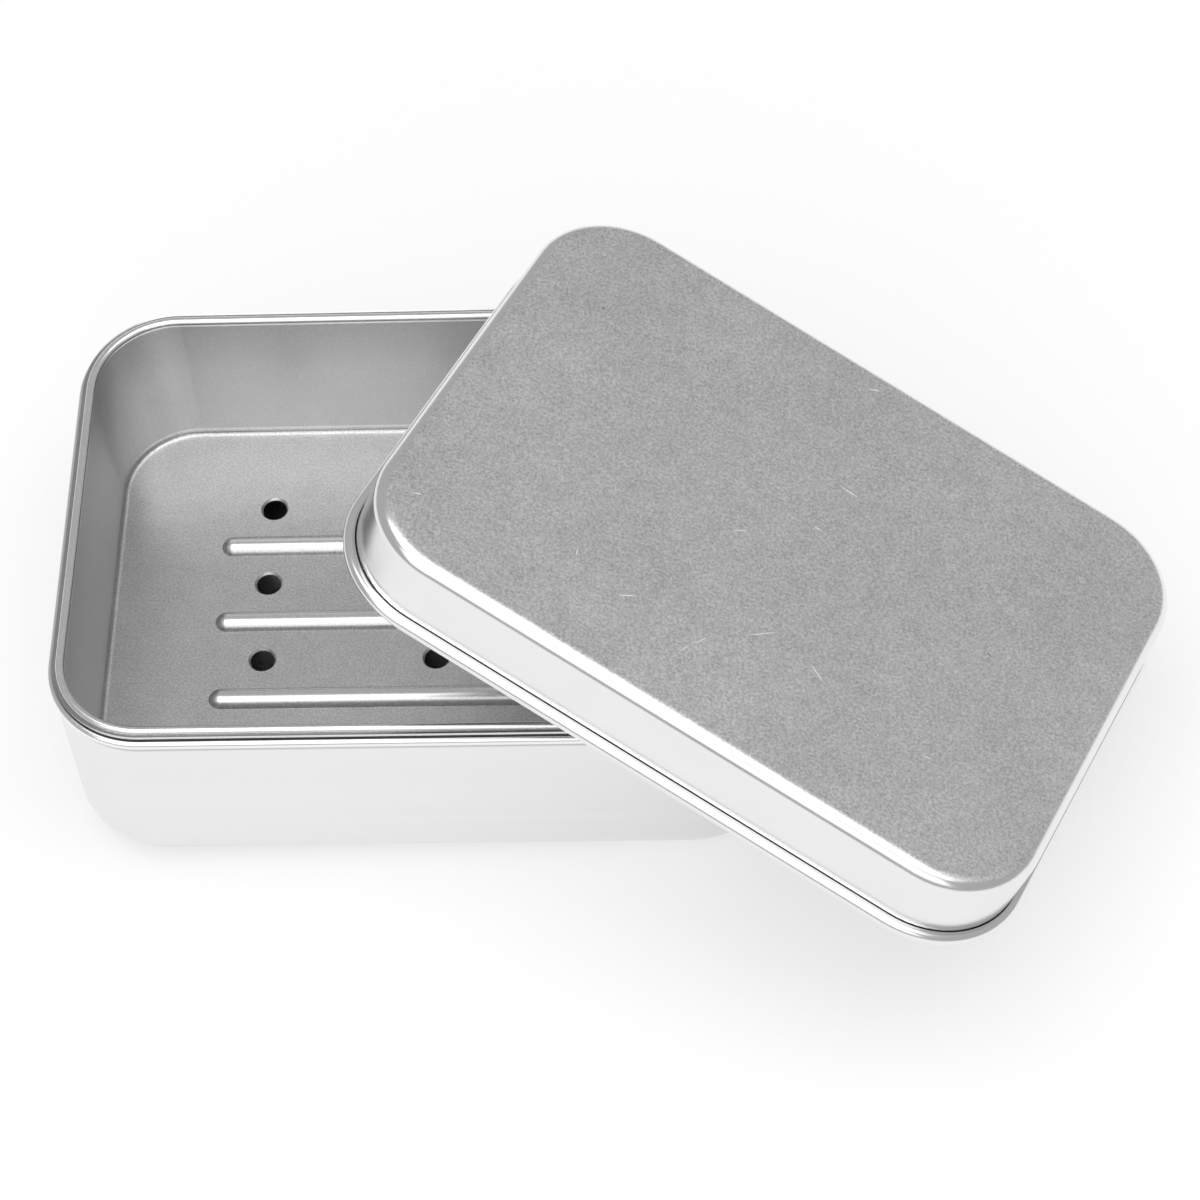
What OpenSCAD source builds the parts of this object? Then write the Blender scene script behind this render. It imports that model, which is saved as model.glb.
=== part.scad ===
// Travel soap box pressed from thin aluminium sheet: a deep box, a drain tray hung in its mouth
// and a slip-on lid, shown as photographed, with the lid taken off and propped on the box's rim.
// Millimetres, +Z up, +X along the box, origin at the middle of the face that the box stands on.

/* [Sheet] */

// Thickness of the aluminium sheet that all three pieces are pressed from
sheet = 0.5; // [0.4:0.05:0.6]

/* [Box] */

// Length of the box over its rolled edge
box_length = 110; // [96:1:130]
// Width of the box over its rolled edge
box_width = 80.8; // [72:0.1:95]
// Height of the box to the top of its rolled edge
box_height = 35; // [29:0.1:45]
// Plan radius of the box's corners over the rolled edge
corner_radius = 15; // [12.5:0.5:19]
// Outer radius of the bend between the walls and the base
base_bend = 8; // [5:0.5:10]
// Radius of the box's rolled edge
box_roll = 0.75; // [0.65:0.05:0.85]
// How far the rolled edge stands out beyond the wall under it
box_roll_stand = 0.5; // [0.3:0.1:0.6]
// How far the wall leans in from its top to its foot
box_lean = 0.2; // [0:0.1:1]

/* [Drain tray] */

// Height of the tray's floor above the face that the box stands on
tray_floor_height = 8.2; // [5:0.1:14]
// Height of the tray's rolled lip above the box's rolled edge
lip_height = 1.5; // [1.4:0.1:2.8]
// Radius of the roll that the lip ends in
lip_roll = 0.75; // [0.55:0.05:0.85]
// How far the tray's wall leans in from its lip to its floor
tray_lean = 0.9; // [0.3:0.1:2]
// Inner radius of the bend between the tray's wall and floor
tray_bend = 0.8; // [0.5:0.1:2]
// Height of the tray's flange above the box's rolled edge
flange_lift = 0.35; // [0.2:0.05:0.5]
// Reach of the flange outwards from the lip, over the rolled edge
flange_reach = 0.5; // [0.4:0.05:0.6]
// How far the flange's outer edge is turned up
flange_rise = 0.15; // [0.1:0.05:0.3]
// Length of each pressed rib, tip to tip
rib_length = 70.4; // [50:0.2:74]
// Width of each rib where it leaves the floor
rib_width = 3.8; // [3:0.1:4.6]
// Height of each rib above the floor
rib_height = 1.2; // [0.8:0.1:1.6]
// Distance between neighbouring ribs, and between neighbouring rows of holes
rib_pitch = 14.5; // [12.5:0.1:16]
// Number of ribs, with a row of holes on each side of every rib
rib_count = 3; // [1:1:3]
// Diameter of each drain hole
hole_diameter = 3.8; // [3:0.1:4.6]
// Distance between neighbouring holes in a row
hole_pitch = 27.3; // [20:0.1:32]
// Number of holes in a row
hole_count = 3; // [1:2:3]
// Width of the bevel round each hole's upper edge
hole_bevel = 0.3; // [0.1:0.05:0.4]

/* [Lid] */

// Height of the lid from its rolled edge to its top
lid_height = 13.4; // [11:0.1:18]
// Outer radius of the bend between the lid's top and skirt
lid_bend = 2.2; // [1.5:0.1:4]
// Radius of the lid's rolled edge
lid_roll = 1.05; // [0.95:0.05:1.25]
// Width of the slit left open between the roll's free edge and the skirt
lid_roll_slit = 0.15; // [0.1:0.05:0.4]

/* [Clearances] */

// Gap all round between the tray's lip and the inside of the lid's skirt
lid_clearance = 0.2; // [0.15:0.05:0.4]
// Gap all round between the box's rolled edge and the tray's wall
tray_clearance = 0.4; // [0.3:0.05:0.5]
// Gap between the rolled edge and the folded lip's foot that is seated on its inner shoulder
seat_clearance = 0.05; // [0.02:0.01:0.1]
// Height of the propped lid's rolled edge above the lip under it
prop_clearance = 0.5; // [0.4:0.05:1]

/* [Lid as photographed] */

// Turn of the taken-off lid about the vertical, in degrees
lid_turn = -27; // [-30:0.1:-24]
// Dip of the lid's far end, in degrees
lid_dip = 18.7; // [16:0.1:21]
// Lean of the lid towards its back edge, in degrees
lid_lean = -11.5; // [-13:0.1:-9]
// Distance of the lid's middle in from the box's right-hand end
lid_from_end = 4.3; // [2:0.1:8]
// Distance of the lid's middle in front of the box's middle
lid_from_middle = 18; // [15:0.1:21]

/* [Hidden] */

$fn = 96;
cut = 1;

half_length = box_length / 2;
half_width = box_width / 2;

// Distances in from the outermost line of the box's rolled edge
box_wall_in = box_roll_stand;
tray_wall_in = 2 * box_roll + tray_clearance + sheet;
fold_gap = 0.05;
lip_width = 2 * sheet + fold_gap;
lip_out_in = tray_wall_in - lip_width;
lid_skirt_in = lip_out_in - lid_clearance - sheet;
lid_grow = 2 * lid_roll - sheet - lid_skirt_in;

// Heights. The folded lip's foot rests where its outer face meets the rolled edge's shoulder.
roll_middle = box_height - box_roll;
seat_reach = box_roll + seat_clearance;
seat_in = lip_out_in - box_roll;
seat_height = roll_middle + sqrt(max(0, seat_reach * seat_reach - seat_in * seat_in));
flange_height = box_height + flange_lift;
lip_top = box_height + lip_height;

// The lid's own sizes over its rolled edge
lid_half_length = half_length + lid_grow;
lid_half_width = half_width + lid_grow;
lid_corner_radius = corner_radius + lid_grow;

// The rib is part of a round bar sunk in the floor
rib_round = (rib_width * rib_width / 4 + rib_height * rib_height) / (2 * rib_height);
rib_centre = tray_floor_height + rib_height - rib_round;

// Height of the propped lid: where its back edge crosses the box's right-hand rim,
// the underside of its rolled edge is prop_clearance above the lip
prop_line = lid_half_width - lid_roll;
turn_xx = cos(lid_turn) * cos(lid_dip);
turn_xy = cos(lid_turn) * sin(lid_dip) * sin(lid_lean) - sin(lid_turn) * cos(lid_lean);
turn_zx = -sin(lid_dip);
turn_zy = cos(lid_dip) * sin(lid_lean);
lid_x = half_length - lid_from_end;
lid_y = -lid_from_middle;
rim_x = half_length - lip_out_in - lip_width / 2;
cross_x = (rim_x - lid_x - prop_line * turn_xy) / turn_xx;
lid_z = lip_top + prop_clearance - cross_x * turn_zx - prop_line * turn_zy;

// Carries a wall section round a rounded rectangle. The section is drawn with x measured
// outwards from the line through the corner centres.
module around(hl, hw, r) {
    ends = [[1, 1, 0], [-1, 1, 90], [-1, -1, 180], [1, -1, 270]];
    for (e = ends)
        translate([e[0] * (hl - r), e[1] * (hw - r), 0])
            rotate([0, 0, e[2]])
                rotate_extrude(angle = 90)
                    children();
    for (side = [0, 180])
        rotate([0, 0, side])
            translate([hl - r, 0, 0])
                rotate([90, 0, 0])
                    linear_extrude(height = 2 * (hw - r), center = true)
                        children();
    for (side = [90, 270])
        rotate([0, 0, side])
            translate([hw - r, 0, 0])
                rotate([90, 0, 0])
                    linear_extrude(height = 2 * (hl - r), center = true)
                        children();
}

// Quarter of a bent sheet, outside radius r, turning between level and upright
module bend_section(r, up) {
    intersection() {
        difference() {
            circle(r);
            circle(r - sheet);
        }
        translate([0, up ? 0 : -r])
            square(r);
    }
}

module box_section() {
    wall_top = corner_radius - box_wall_in;
    wall_foot = wall_top - box_lean;
    bend_x = wall_foot - base_bend;
    wall_in = box_roll - box_wall_in - sheet;
    square([bend_x, sheet]);
    translate([bend_x, base_bend])
        bend_section(base_bend, false);
    polygon([
        [wall_foot - sheet, base_bend],
        [wall_foot, base_bend],
        [wall_top, roll_middle - box_roll / 2],
        [wall_top - sheet, roll_middle - box_roll / 2]
    ]);
    translate([corner_radius - box_roll, roll_middle])
        difference() {
            circle(box_roll);
            circle(box_roll - sheet);
            polygon([
                [0, 0],
                [-2 * box_roll, -box_roll],
                [-2 * box_roll, -2 * box_roll],
                [wall_in, -2 * box_roll],
                [wall_in, -box_roll / 2]
            ]);
        }
}

module tray_section() {
    wall_top = corner_radius - tray_wall_in;
    wall_foot = wall_top - tray_lean;
    bend_x = wall_foot - tray_bend;
    bend_z = tray_floor_height + tray_bend;
    lip_x = wall_top + lip_width;
    lip_z = lip_top - lip_roll;
    edge_x = lip_x + flange_reach;
    rise_x = edge_x - flange_rise;
    translate([0, tray_floor_height - sheet])
        square([bend_x, sheet]);
    translate([bend_x, bend_z])
        bend_section(tray_bend + sheet, false);
    polygon([
        [wall_foot, bend_z],
        [wall_foot + sheet, bend_z],
        [wall_top + sheet, seat_height],
        [wall_top, seat_height]
    ]);
    translate([wall_top, seat_height])
        square([lip_width, lip_z - seat_height]);
    translate([lip_x - lip_roll, lip_z])
        circle(lip_roll);
    polygon([
        [wall_top, flange_height],
        [rise_x, flange_height],
        [edge_x, flange_height + flange_rise],
        [edge_x, flange_height + flange_rise + sheet],
        [rise_x, flange_height + sheet],
        [wall_top, flange_height + sheet]
    ]);
}

module lid_section() {
    skirt_x = lid_corner_radius - 2 * lid_roll + sheet;
    bend_x = skirt_x - lid_bend;
    roll_x = lid_corner_radius - lid_roll;
    translate([0, lid_height - sheet])
        square([bend_x, sheet]);
    translate([bend_x, lid_height - lid_bend])
        bend_section(lid_bend, true);
    translate([skirt_x - sheet, lid_roll])
        square([sheet, lid_height - lid_bend - lid_roll]);
    difference() {
        translate([roll_x, lid_roll])
            difference() {
                circle(lid_roll);
                circle(lid_roll - sheet);
            }
        translate([roll_x - lid_roll, lid_roll])
            square([skirt_x + lid_roll_slit - roll_x + lid_roll, lid_roll + cut]);
    }
}

module box() {
    color([0.78, 0.79, 0.8]) {
        around(half_length, half_width, corner_radius)
            box_section();
        middle_plate(half_length - corner_radius, half_width - corner_radius, 0);
    }
}

module drain_tray() {
    color([0.72, 0.73, 0.74])
        difference() {
            union() {
                around(half_length, half_width, corner_radius)
                    tray_section();
                middle_plate(
                    half_length - corner_radius,
                    half_width - corner_radius,
                    tray_floor_height - sheet
                );
                ribs(rib_round);
            }
            ribs(rib_round - sheet);
            drain_holes();
        }
}

module lid() {
    color([0.7, 0.71, 0.72])
        translate([lid_x, lid_y, lid_z])
            rotate([lid_lean, lid_dip, lid_turn]) {
                around(lid_half_length, lid_half_width, lid_corner_radius)
                    lid_section();
                middle_plate(
                    lid_half_length - lid_corner_radius,
                    lid_half_width - lid_corner_radius,
                    lid_height - sheet
                );
            }
}

// Flat sheet between the corner centres, which the wall sections leave open
module middle_plate(hl, hw, z) {
    translate([-hl, -hw, z])
        cube([2 * hl, 2 * hw, sheet]);
}

// Round-ended bars: as drawn they are the ribs, and thinner by the sheet the hollows under them
module ribs(r) {
    bar = rib_length / 2 - rib_width / 2;
    first = -(rib_count - 1) / 2;
    intersection() {
        for (i = [0 : rib_count - 1])
            translate([0, (first + i) * rib_pitch, rib_centre]) {
                rotate([0, 90, 0])
                    cylinder(r = r, h = 2 * bar, center = true);
                for (x = [-bar, bar])
                    translate([x, 0, 0])
                        sphere(r);
            }
        translate([-rib_length, -half_width, tray_floor_height - sheet])
            cube([2 * rib_length, box_width, rib_height + 2 * sheet]);
    }
}

module drain_holes() {
    first_row = -rib_count / 2;
    first_hole = -(hole_count - 1) / 2;
    for (row = [0 : rib_count])
        for (i = [0 : hole_count - 1])
            translate([(first_hole + i) * hole_pitch, (first_row + row) * rib_pitch, 0]) {
                translate([0, 0, tray_floor_height - sheet - cut])
                    cylinder(d = hole_diameter, h = sheet + 2 * cut);
                translate([0, 0, tray_floor_height - hole_bevel])
                    cylinder(
                        d1 = hole_diameter,
                        d2 = hole_diameter + 4 * hole_bevel,
                        h = 2 * hole_bevel
                    );
            }
}

box();
drain_tray();
lid();
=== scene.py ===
"""Looks of the travel soap box: satin aluminium, white floor, camera as in the photo."""

import math

import bpy
from mathutils import Matrix, Vector

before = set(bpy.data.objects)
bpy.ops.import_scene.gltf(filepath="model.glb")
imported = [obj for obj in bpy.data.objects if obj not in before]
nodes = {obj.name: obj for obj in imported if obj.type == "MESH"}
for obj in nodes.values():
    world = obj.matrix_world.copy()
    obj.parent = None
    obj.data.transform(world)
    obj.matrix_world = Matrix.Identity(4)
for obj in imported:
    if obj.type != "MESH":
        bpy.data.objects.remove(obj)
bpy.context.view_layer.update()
scene = bpy.context.scene

MM = 0.001
WHITE = (1, 1, 1, 1)

# Sizes of the part in mm, as in its source
LID_HEIGHT = 13.4
FLOOR_TOP = 8.2
BOX_LENGTH = 110
BOX_WIDTH = 80.8
CORNER_RADIUS = 15
# How the taken-off lid lies: degrees about X, Y and Z, then the middle of its rolled edge in mm
LID_TURNS = (-11.5, 18.7, -27.0)
LID_MIDDLE = (50.7, -18.0, 39.593)

# Heights in mm between which one kind of surface goes over into the next
LID_TOP_STARTS = (LID_HEIGHT - 0.25, LID_HEIGHT - 0.05)
TRAY_FLOOR_ENDS = (FLOOR_TOP + 0.3, FLOOR_TOP + 1.2)
TRAY_WALL_STARTS = (FLOOR_TOP + 1.2, FLOOR_TOP + 1.6)
# Where the tray's rim starts; its lighter tone there is partly polish, partly a painted highlight
TRAY_RIM_STARTS = (34.8, 35.1)
# Heights over which the tray's inner wall darkens towards the rim: painted shade
TRAY_WALL_SHADE = (24, 34)
# Heights over which the painted shade in the valley between the tray's lip and flange fades out upwards
GROOVE_SHADE_ENDS = (35.95, 36.2)
BOX_FLOOR_ENDS = (0.6, 1.6)
BOX_RIM_STARTS = (33.0, 33.6)
# Heights of a band of painted shade on the box's wall just under its rolled edge
SEAM_SHADE_STARTS = (32.6, 33.1)
SEAM_SHADE_ENDS = (33.3, 33.6)
# Heights above which the box's rolled edge, where the tray's flange covers it, gets painted shade
COVER_SHADE_STARTS = (34.2, 34.6)
# The same for distances in mm inwards from the box's rolled edge, here the edges of painted shade in the
# tray's valley and on the box's covered rolled edge
GROOVE_SHADE_OUTER = (0.92, 1.05)
GROOVE_SHADE_INNER = (1.35, 1.5)
COVER_SHADE_OUTER = (0.55, 0.85)

# Most values of a noise texture lie between these two
NOISE_RANGE = (0.3, 0.7)
# Noise scales per metre, and how much each of them weighs in the tone of a grained face
COARSE_SCALE = 260.0
CLOUD_SCALE = 38.0
DRAWN_SCALE = 90.0
DRAWN_STRETCH = (14.0, 0.35, 0.35)
FINE_SHARE = 0.78
COARSE_SHARE = 0.16
CLOUD_SHARE = 0.06
# How far the noises move the tone of a drawn wall and the roughness of each surface
DRAWN_TONE = 0.02
DRAWN_ROUGH = 0.03
FINE_ROUGH = 0.08
CLOUD_ROUGH = 0.05
# Bump depths in metres
GRAIN_DEPTH = 0.00004
DRAWN_DEPTH = 0.0001
MARK_DEPTH = 0.0001

# Scratches on the lid's top: middle x and y in mm, angle in degrees, length in mm
SCRATCHES = (
    (4.1, 14.9, -2, 3.7), (-6.4, -2.8, 38, 2.8), (3.0, 5.4, 7, 1.5), (-24.4, -22.5, -77, 2.2),
    (-4.1, -27.3, 68, 3.2), (-2.7, -24.4, 62, 3.5), (4.0, -17.6, 45, 6.6), (13.6, -18.3, -31, 4.1),
    (-14.9, -24.5, 35, 3.8), (33.2, -21.1, 13, 1.9), (-0.7, 35.4, 25, 2.4), (-47.8, -28.8, 26, 1.8),
)
SCRATCH_HALF_WIDTH = 0.13
# Small dents on the lid's top: middle x and y in mm, radius in mm
DENTS = ((-41.4, 20.8, 0.45), (33.7, 2.0, 0.35))


class Tree:
    """Short ways to add and join shader nodes in one material."""

    def __init__(self, name):
        self.mat = bpy.data.materials.new(name)
        self.mat.use_nodes = True
        self.t = self.mat.node_tree
        self.t.nodes.clear()
        out = self.t.nodes.new("ShaderNodeOutputMaterial")
        self.bsdf = self.t.nodes.new("ShaderNodeBsdfPrincipled")
        self.join(self.bsdf.outputs[0], out.inputs["Surface"])
        self.coord = self.t.nodes.new("ShaderNodeTexCoord").outputs["Object"]

    def join(self, a, b):
        self.t.links.new(a, b)

    def put(self, socket, value):
        """Join a node's output to the socket, or set the socket to a number."""
        if isinstance(value, bpy.types.NodeSocket):
            self.join(value, socket)
        else:
            socket.default_value = value

    def source(self, name):
        """The output that is joined to an input of the shader."""
        return self.bsdf.inputs[name].links[0].from_socket

    def mapping(self, rot=(0, 0, 0), scale=(1, 1, 1), loc=(0, 0, 0), src=None):
        """Coordinates in a frame with this turn, scale and origin."""
        n = self.t.nodes.new("ShaderNodeMapping")
        n.vector_type = "TEXTURE"
        n.inputs["Location"].default_value = loc
        n.inputs["Rotation"].default_value = rot
        n.inputs["Scale"].default_value = scale
        self.join(src or self.coord, n.inputs["Vector"])
        return n.outputs[0]

    def noise(self, scale, detail, rough, src=None):
        n = self.t.nodes.new("ShaderNodeTexNoise")
        self.join(src or self.coord, n.inputs["Vector"])
        n.inputs["Scale"].default_value = scale
        n.inputs["Detail"].default_value = detail
        n.inputs["Roughness"].default_value = rough
        return n.outputs["Fac"]

    def span(self, value, lo, hi, to_lo=0.0, to_hi=1.0):
        """A straight ramp from to_lo at lo to to_hi at hi, level outside them."""
        n = self.t.nodes.new("ShaderNodeMapRange")
        n.clamp = True
        self.put(n.inputs["Value"], value)
        n.inputs["From Min"].default_value = lo
        n.inputs["From Max"].default_value = hi
        n.inputs["To Min"].default_value = to_lo
        n.inputs["To Max"].default_value = to_hi
        return n.outputs[0]

    def even(self, noise):
        """A noise spread over 0 to 1."""
        return self.span(noise, *NOISE_RANGE)

    def step(self, value, edges, before=0.0, after=1.0):
        """The number before up to the first of two edges in mm, and after past the second."""
        return self.span(value, edges[0] * MM, edges[1] * MM, before, after)

    def math(self, op, a, b=0.0, c=0.0):
        n = self.t.nodes.new("ShaderNodeMath")
        n.operation = op
        self.put(n.inputs[0], a)
        self.put(n.inputs[1], b)
        if op == "MULTIPLY_ADD":
            self.put(n.inputs[2], c)
        return n.outputs[0]

    def times(self, a, b):
        return self.math("MULTIPLY", a, b)

    def fade(self, tone, mask, share):
        """The tone, lowered to this share of it where the mask is 1."""
        return self.times(tone, self.span(mask, 0.0, 1.0, 1.0, share))

    def blend(self, value, a, b):
        """Number a where value is 0 and b where it is 1."""
        n = self.t.nodes.new("ShaderNodeMix")
        n.data_type = "FLOAT"
        self.put(n.inputs["Factor"], value)
        self.put(n.inputs["A"], a)
        self.put(n.inputs["B"], b)
        return n.outputs["Result"]

    def grey(self, value):
        """A grey from black at 0 to white at 1."""
        n = self.t.nodes.new("ShaderNodeMix")
        n.data_type = "RGBA"
        self.put(n.inputs["Factor"], value)
        n.inputs["A"].default_value = (0, 0, 0, 1)
        n.inputs["B"].default_value = WHITE
        return n.outputs["Result"]

    def cover(self, color, mask, share, grey):
        """The color, covered by this share of one grey where the mask is 1."""
        n = self.t.nodes.new("ShaderNodeMix")
        n.data_type = "RGBA"
        self.join(self.times(mask, share), n.inputs["Factor"])
        self.join(color, n.inputs["A"])
        n.inputs["B"].default_value = (grey, grey, grey, 1)
        return n.outputs["Result"]

    def height(self, src=None):
        """Height in metres above the ground, or above the zero of other coordinates."""
        n = self.t.nodes.new("ShaderNodeSeparateXYZ")
        self.join(src or self.coord, n.inputs[0])
        return n.outputs["Z"]

    def inset(self):
        """Distance in metres inwards from the outline of the box's rolled edge."""
        n = self.t.nodes.new("ShaderNodeSeparateXYZ")
        self.join(self.coord, n.inputs[0])
        radius = CORNER_RADIUS * MM
        past = []
        for axis, length in (("X", BOX_LENGTH * MM), ("Y", BOX_WIDTH * MM)):
            past.append(self.math("SUBTRACT", self.math("ABSOLUTE", n.outputs[axis]), length / 2 - radius))
        x, y = (self.math("MAXIMUM", p, 0.0) for p in past)
        square = self.math("MULTIPLY_ADD", x, x, self.times(y, y))
        inner = self.math("MINIMUM", self.math("MAXIMUM", *past), 0.0)
        reach = self.math("ADD", self.math("SQRT", square), inner)
        return self.math("SUBTRACT", radius, reach)

    def bump(self, height, strength, depth, normal=None):
        n = self.t.nodes.new("ShaderNodeBump")
        self.put(n.inputs["Height"], height)
        n.inputs["Strength"].default_value = strength
        n.inputs["Distance"].default_value = depth
        if normal is not None:
            self.join(normal, n.inputs["Normal"])
        return n.outputs[0]


def satin(name, dark, light, flat, rough, walls, grain, bump):
    """Pressed aluminium: grained, duller flat faces and smooth drawn walls and rims.

    flat is a function that gives 1 on the grained faces. walls is a function that gives the tone
    and the roughness of everything else. grain is the size of the grain in mm.
    """
    m = Tree(name)
    mask = flat(m)
    fine = m.noise(1000.0 / grain, 2.0, 0.6)
    coarse = m.noise(COARSE_SCALE, 3.0, 0.55)
    clouds = m.noise(CLOUD_SCALE, 2.0, 0.5)
    drawn = m.noise(DRAWN_SCALE, 3.0, 0.6, src=m.mapping(scale=DRAWN_STRETCH))

    tone = m.math("MULTIPLY_ADD", m.even(fine), FINE_SHARE, m.times(m.even(coarse), COARSE_SHARE))
    tone = m.math("ADD", tone, m.times(m.even(clouds), CLOUD_SHARE))
    tone = m.span(tone, 0.0, 1.0, dark, light)
    wall_tone, wall_rough = walls(m)
    wall_tone = m.math("MULTIPLY_ADD", m.even(drawn), DRAWN_TONE, wall_tone)
    m.join(m.grey(m.blend(mask, wall_tone, tone)), m.bsdf.inputs["Base Color"])
    m.bsdf.inputs["Metallic"].default_value = 1.0

    least = rough - (CLOUD_ROUGH + FINE_ROUGH) / 2
    sheen = m.math("MULTIPLY_ADD", m.even(clouds), CLOUD_ROUGH, least)
    sheen = m.math("MULTIPLY_ADD", m.span(fine, 0.25, 0.75), FINE_ROUGH, sheen)
    wall_sheen = m.math("MULTIPLY_ADD", m.even(drawn), DRAWN_ROUGH, wall_rough)
    m.join(m.blend(mask, wall_sheen, sheen), m.bsdf.inputs["Roughness"])

    normal = m.bump(m.times(fine, mask), bump, GRAIN_DEPTH)
    m.join(m.bump(drawn, 0.03, DRAWN_DEPTH, normal), m.bsdf.inputs["Normal"])
    return m


def lid_frame(m):
    """The lid's own coordinates, level and with zero at the middle of its rolled edge."""
    turns = tuple(math.radians(a) for a in LID_TURNS)
    return m.mapping(rot=turns, loc=tuple(v * MM for v in LID_MIDDLE))


def lid_flat(m):
    return m.step(m.height(lid_frame(m)), LID_TOP_STARTS)


def lid_walls(m):
    return 0.82, 0.18


def tray_flat(m):
    """Grained floor. The ribs keep a third of the grain, because the soap rubs them."""
    return m.step(m.height(), TRAY_FLOOR_ENDS, 1.0, 0.35)


def tray_walls(m):
    """Dull walls with a painted shade that darkens them towards the rim; a bright rim whose light tone is
    partly polish and partly a painted highlight; and a painted shade in the valley between the lip and the
    flange.
    """
    z = m.height()
    inset = m.inset()
    dull_and_shaded = m.math("SUBTRACT", m.step(z, TRAY_WALL_STARTS), m.step(z, TRAY_RIM_STARTS))
    # Painted shade in the valley between the lip and the flange
    groove_shade = m.times(m.step(inset, GROOVE_SHADE_OUTER), m.step(inset, GROOVE_SHADE_INNER, 1.0, 0.0))
    groove_shade = m.times(groove_shade, m.step(z, GROOVE_SHADE_ENDS, 1.0, 0.0))
    # Inner walls darken towards the rim (painted shade); the rim's lighter tone is partly polish, partly a
    # painted highlight
    tone = m.fade(m.blend(dull_and_shaded, 0.88, m.step(z, TRAY_WALL_SHADE, 0.6, 0.47)), groove_shade, 0.35)
    return tone, m.span(dull_and_shaded, 0.0, 1.0, 0.17, 0.38)


def box_flat(m):
    return m.step(m.height(), BOX_FLOOR_ENDS, 1.0, 0.0)


def box_walls(m):
    """Painted shade where the tray's flange covers the rolled edge, and where that edge meets the wall."""
    z = m.height()
    rim = m.step(z, BOX_RIM_STARTS)
    # Painted shade on the rolled edge where the tray's flange covers it
    covered_shade = m.times(m.step(m.inset(), COVER_SHADE_OUTER), m.step(z, COVER_SHADE_STARTS))
    # Painted shade in a band where the rolled edge meets the wall
    seam_shade = m.times(m.step(z, SEAM_SHADE_STARTS), m.step(z, SEAM_SHADE_ENDS, 1.0, 0.0))
    tone = m.fade(m.fade(m.span(rim, 0.0, 1.0, 0.81, 0.88), seam_shade, 0.6), covered_shade, 0.3)
    return tone, m.span(rim, 0.0, 1.0, 0.2, 0.16)


def spot(m, src, x, y, turn, half_length, half_width):
    """1 in the middle of a thin ellipse on the lid's top and 0 outside it. Sizes are in mm."""
    size = (half_length * MM, half_width * MM, 1.0)
    place = (x * MM, y * MM, LID_HEIGHT * MM)
    n = m.t.nodes.new("ShaderNodeVectorMath")
    n.operation = "LENGTH"
    lay = m.mapping(rot=(0, 0, math.radians(turn)), scale=size, loc=place, src=src)
    m.join(lay, n.inputs[0])
    return m.span(n.outputs["Value"], 0.35, 1.0, 1.0, 0.0)


def lid_material():
    """Satin with a few light scratches and two dark dents on the lid's top."""
    m = satin("lid_satin", 0.54, 1.0, lid_flat, 0.36, lid_walls, grain=0.4, bump=0.45)
    top = lid_frame(m)
    marks = 0.0
    for x, y, turn, length in SCRATCHES:
        marks = m.math("MAXIMUM", marks, spot(m, top, x, y, turn, length / 2, SCRATCH_HALF_WIDTH))
    pits = 0.0
    for x, y, radius in DENTS:
        pits = m.math("MAXIMUM", pits, spot(m, top, x, y, 0, radius, radius))
    color = m.cover(m.source("Base Color"), marks, 0.85, 1.0)
    m.join(m.cover(color, pits, 0.6, 0.2), m.bsdf.inputs["Base Color"])
    sheen = m.math("MULTIPLY_ADD", marks, 0.25, m.source("Roughness"))
    m.join(sheen, m.bsdf.inputs["Roughness"])
    depth = m.math("ADD", m.times(marks, 0.4), pits)
    normal = m.bump(m.times(depth, -1.0), 0.6, MARK_DEPTH, m.source("Normal"))
    m.join(normal, m.bsdf.inputs["Normal"])
    return m


lid_mat = lid_material()
tray_mat = satin("tray_satin", 0.5, 0.8, tray_flat, 0.34, tray_walls, grain=0.34, bump=0.28)
box_mat = satin("box_satin", 0.7, 0.85, box_flat, 0.3, box_walls, grain=0.4, bump=0.12)

for node_name, m in (("lid", lid_mat), ("drain_tray", tray_mat), ("box", box_mat)):
    mesh = nodes[node_name].data
    mesh.materials.clear()
    mesh.materials.append(m.mat)


FLOOR_SIZE = 6.0
# Just under the box, so that the two faces don't touch
FLOOR_Z = -0.00002
FLOOR_TONE = 0.55
# White to the eye and in the metal, while the object's shadow still shows
FLOOR_GLOW = 0.5


def white_floor():
    half = FLOOR_SIZE / 2
    mesh = bpy.data.meshes.new("floor")
    corners = [(-half, -half), (half, -half), (half, half), (-half, half)]
    mesh.from_pydata([(x, y, FLOOR_Z) for x, y in corners], [], [(0, 1, 2, 3)])
    floor = bpy.data.objects.new("floor", mesh)
    scene.collection.objects.link(floor)
    f = Tree("floor_white")
    f.bsdf.inputs["Base Color"].default_value = (FLOOR_TONE, FLOOR_TONE, FLOOR_TONE, 1)
    f.bsdf.inputs["Roughness"].default_value = 0.9
    f.bsdf.inputs["Specular IOR Level"].default_value = 0.1
    path = f.t.nodes.new("ShaderNodeLightPath")
    seen = f.math("MAXIMUM", path.outputs["Is Camera Ray"], path.outputs["Is Glossy Ray"])
    f.bsdf.inputs["Emission Color"].default_value = WHITE
    f.join(f.times(seen, FLOOR_GLOW), f.bsdf.inputs["Emission Strength"])
    mesh.materials.append(f.mat)


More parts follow.
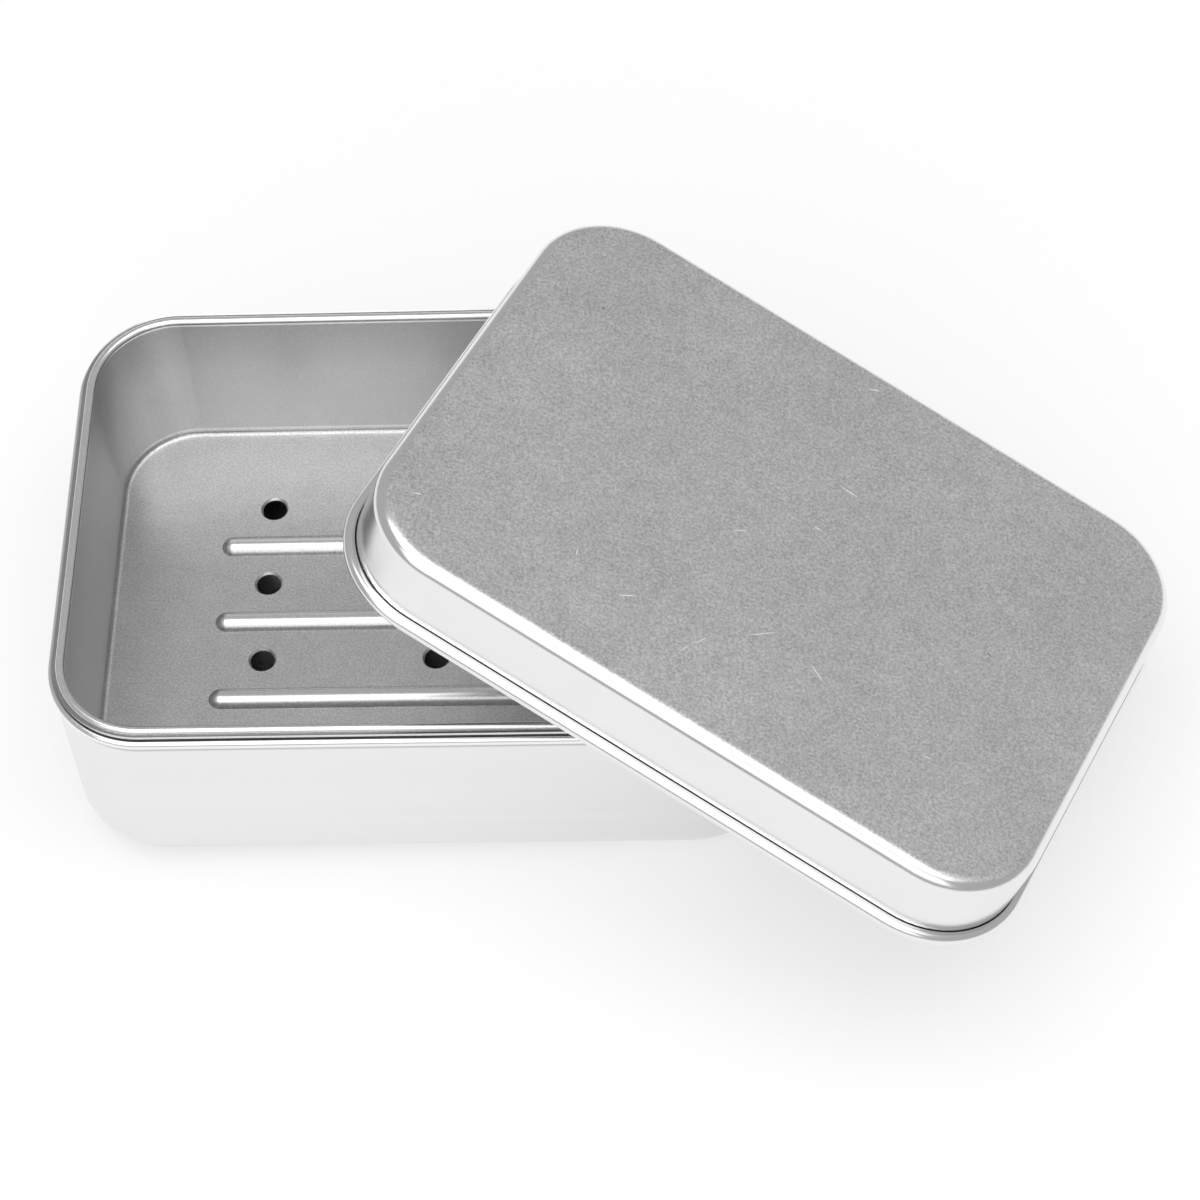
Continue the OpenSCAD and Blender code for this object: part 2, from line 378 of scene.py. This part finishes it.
def lamp(name, at, aim, size, power):
    """A rectangular lamp at one point, aimed at another. Sizes in metres, power in watts."""
    data = bpy.data.lights.new(name, "AREA")
    data.shape = "RECTANGLE"
    data.size, data.size_y = size
    data.energy = power
    o = bpy.data.objects.new(name, data)
    o.location = at
    o.rotation_mode = "QUATERNION"
    o.rotation_quaternion = (Vector(aim) - Vector(at)).to_track_quat("-Z", "Y")
    scene.collection.objects.link(o)


def white_room(level):
    """A world that lights at this level and is white behind the object."""
    world = bpy.data.worlds.new("white_room")
    scene.world = world
    world.use_nodes = True
    t = world.node_tree
    t.nodes.clear()
    out = t.nodes.new("ShaderNodeOutputWorld")
    mix = t.nodes.new("ShaderNodeMixShader")
    path = t.nodes.new("ShaderNodeLightPath")
    t.links.new(path.outputs["Is Camera Ray"], mix.inputs[0])
    for slot, strength in ((1, level), (2, 1.0)):
        background = t.nodes.new("ShaderNodeBackground")
        background.inputs["Color"].default_value = WHITE
        background.inputs["Strength"].default_value = strength
        t.links.new(background.outputs[0], mix.inputs[slot])
    t.links.new(mix.outputs[0], out.inputs["Surface"])


white_floor()
lamp("overhead", (0.2, -0.2, 1.5), (0.2, -0.2, 0), (2.0, 1.2), 11.5)
lamp("front", (-0.3, -1.28, 1.115), (-0.05, 0, 0.02), (2.4, 1.15), 8.0)
white_room(0.45)

# The camera's place in mm, and its directions, as fitted to the photo
CAM_AT = (72.261, -392.338, 577.894)
LOOK = (-0.06765, 0.56887, -0.81964)
UP = (0.01583, 0.82203, 0.56923)
cam_data = bpy.data.cameras.new("camera")
cam_data.sensor_width = 36.0
cam_data.lens = 133.22
cam_data.clip_start = 0.05
cam_data.clip_end = 20.0
cam = bpy.data.objects.new("camera", cam_data)
look = Vector(LOOK).normalized()
side = look.cross(Vector(UP)).normalized()
turn = Matrix((side, side.cross(look), -look)).transposed()
cam.matrix_world = Matrix.Translation(Vector(CAM_AT) * MM) @ turn.to_4x4()
scene.collection.objects.link(cam)
scene.camera = cam
scene.view_settings.view_transform = "Standard"
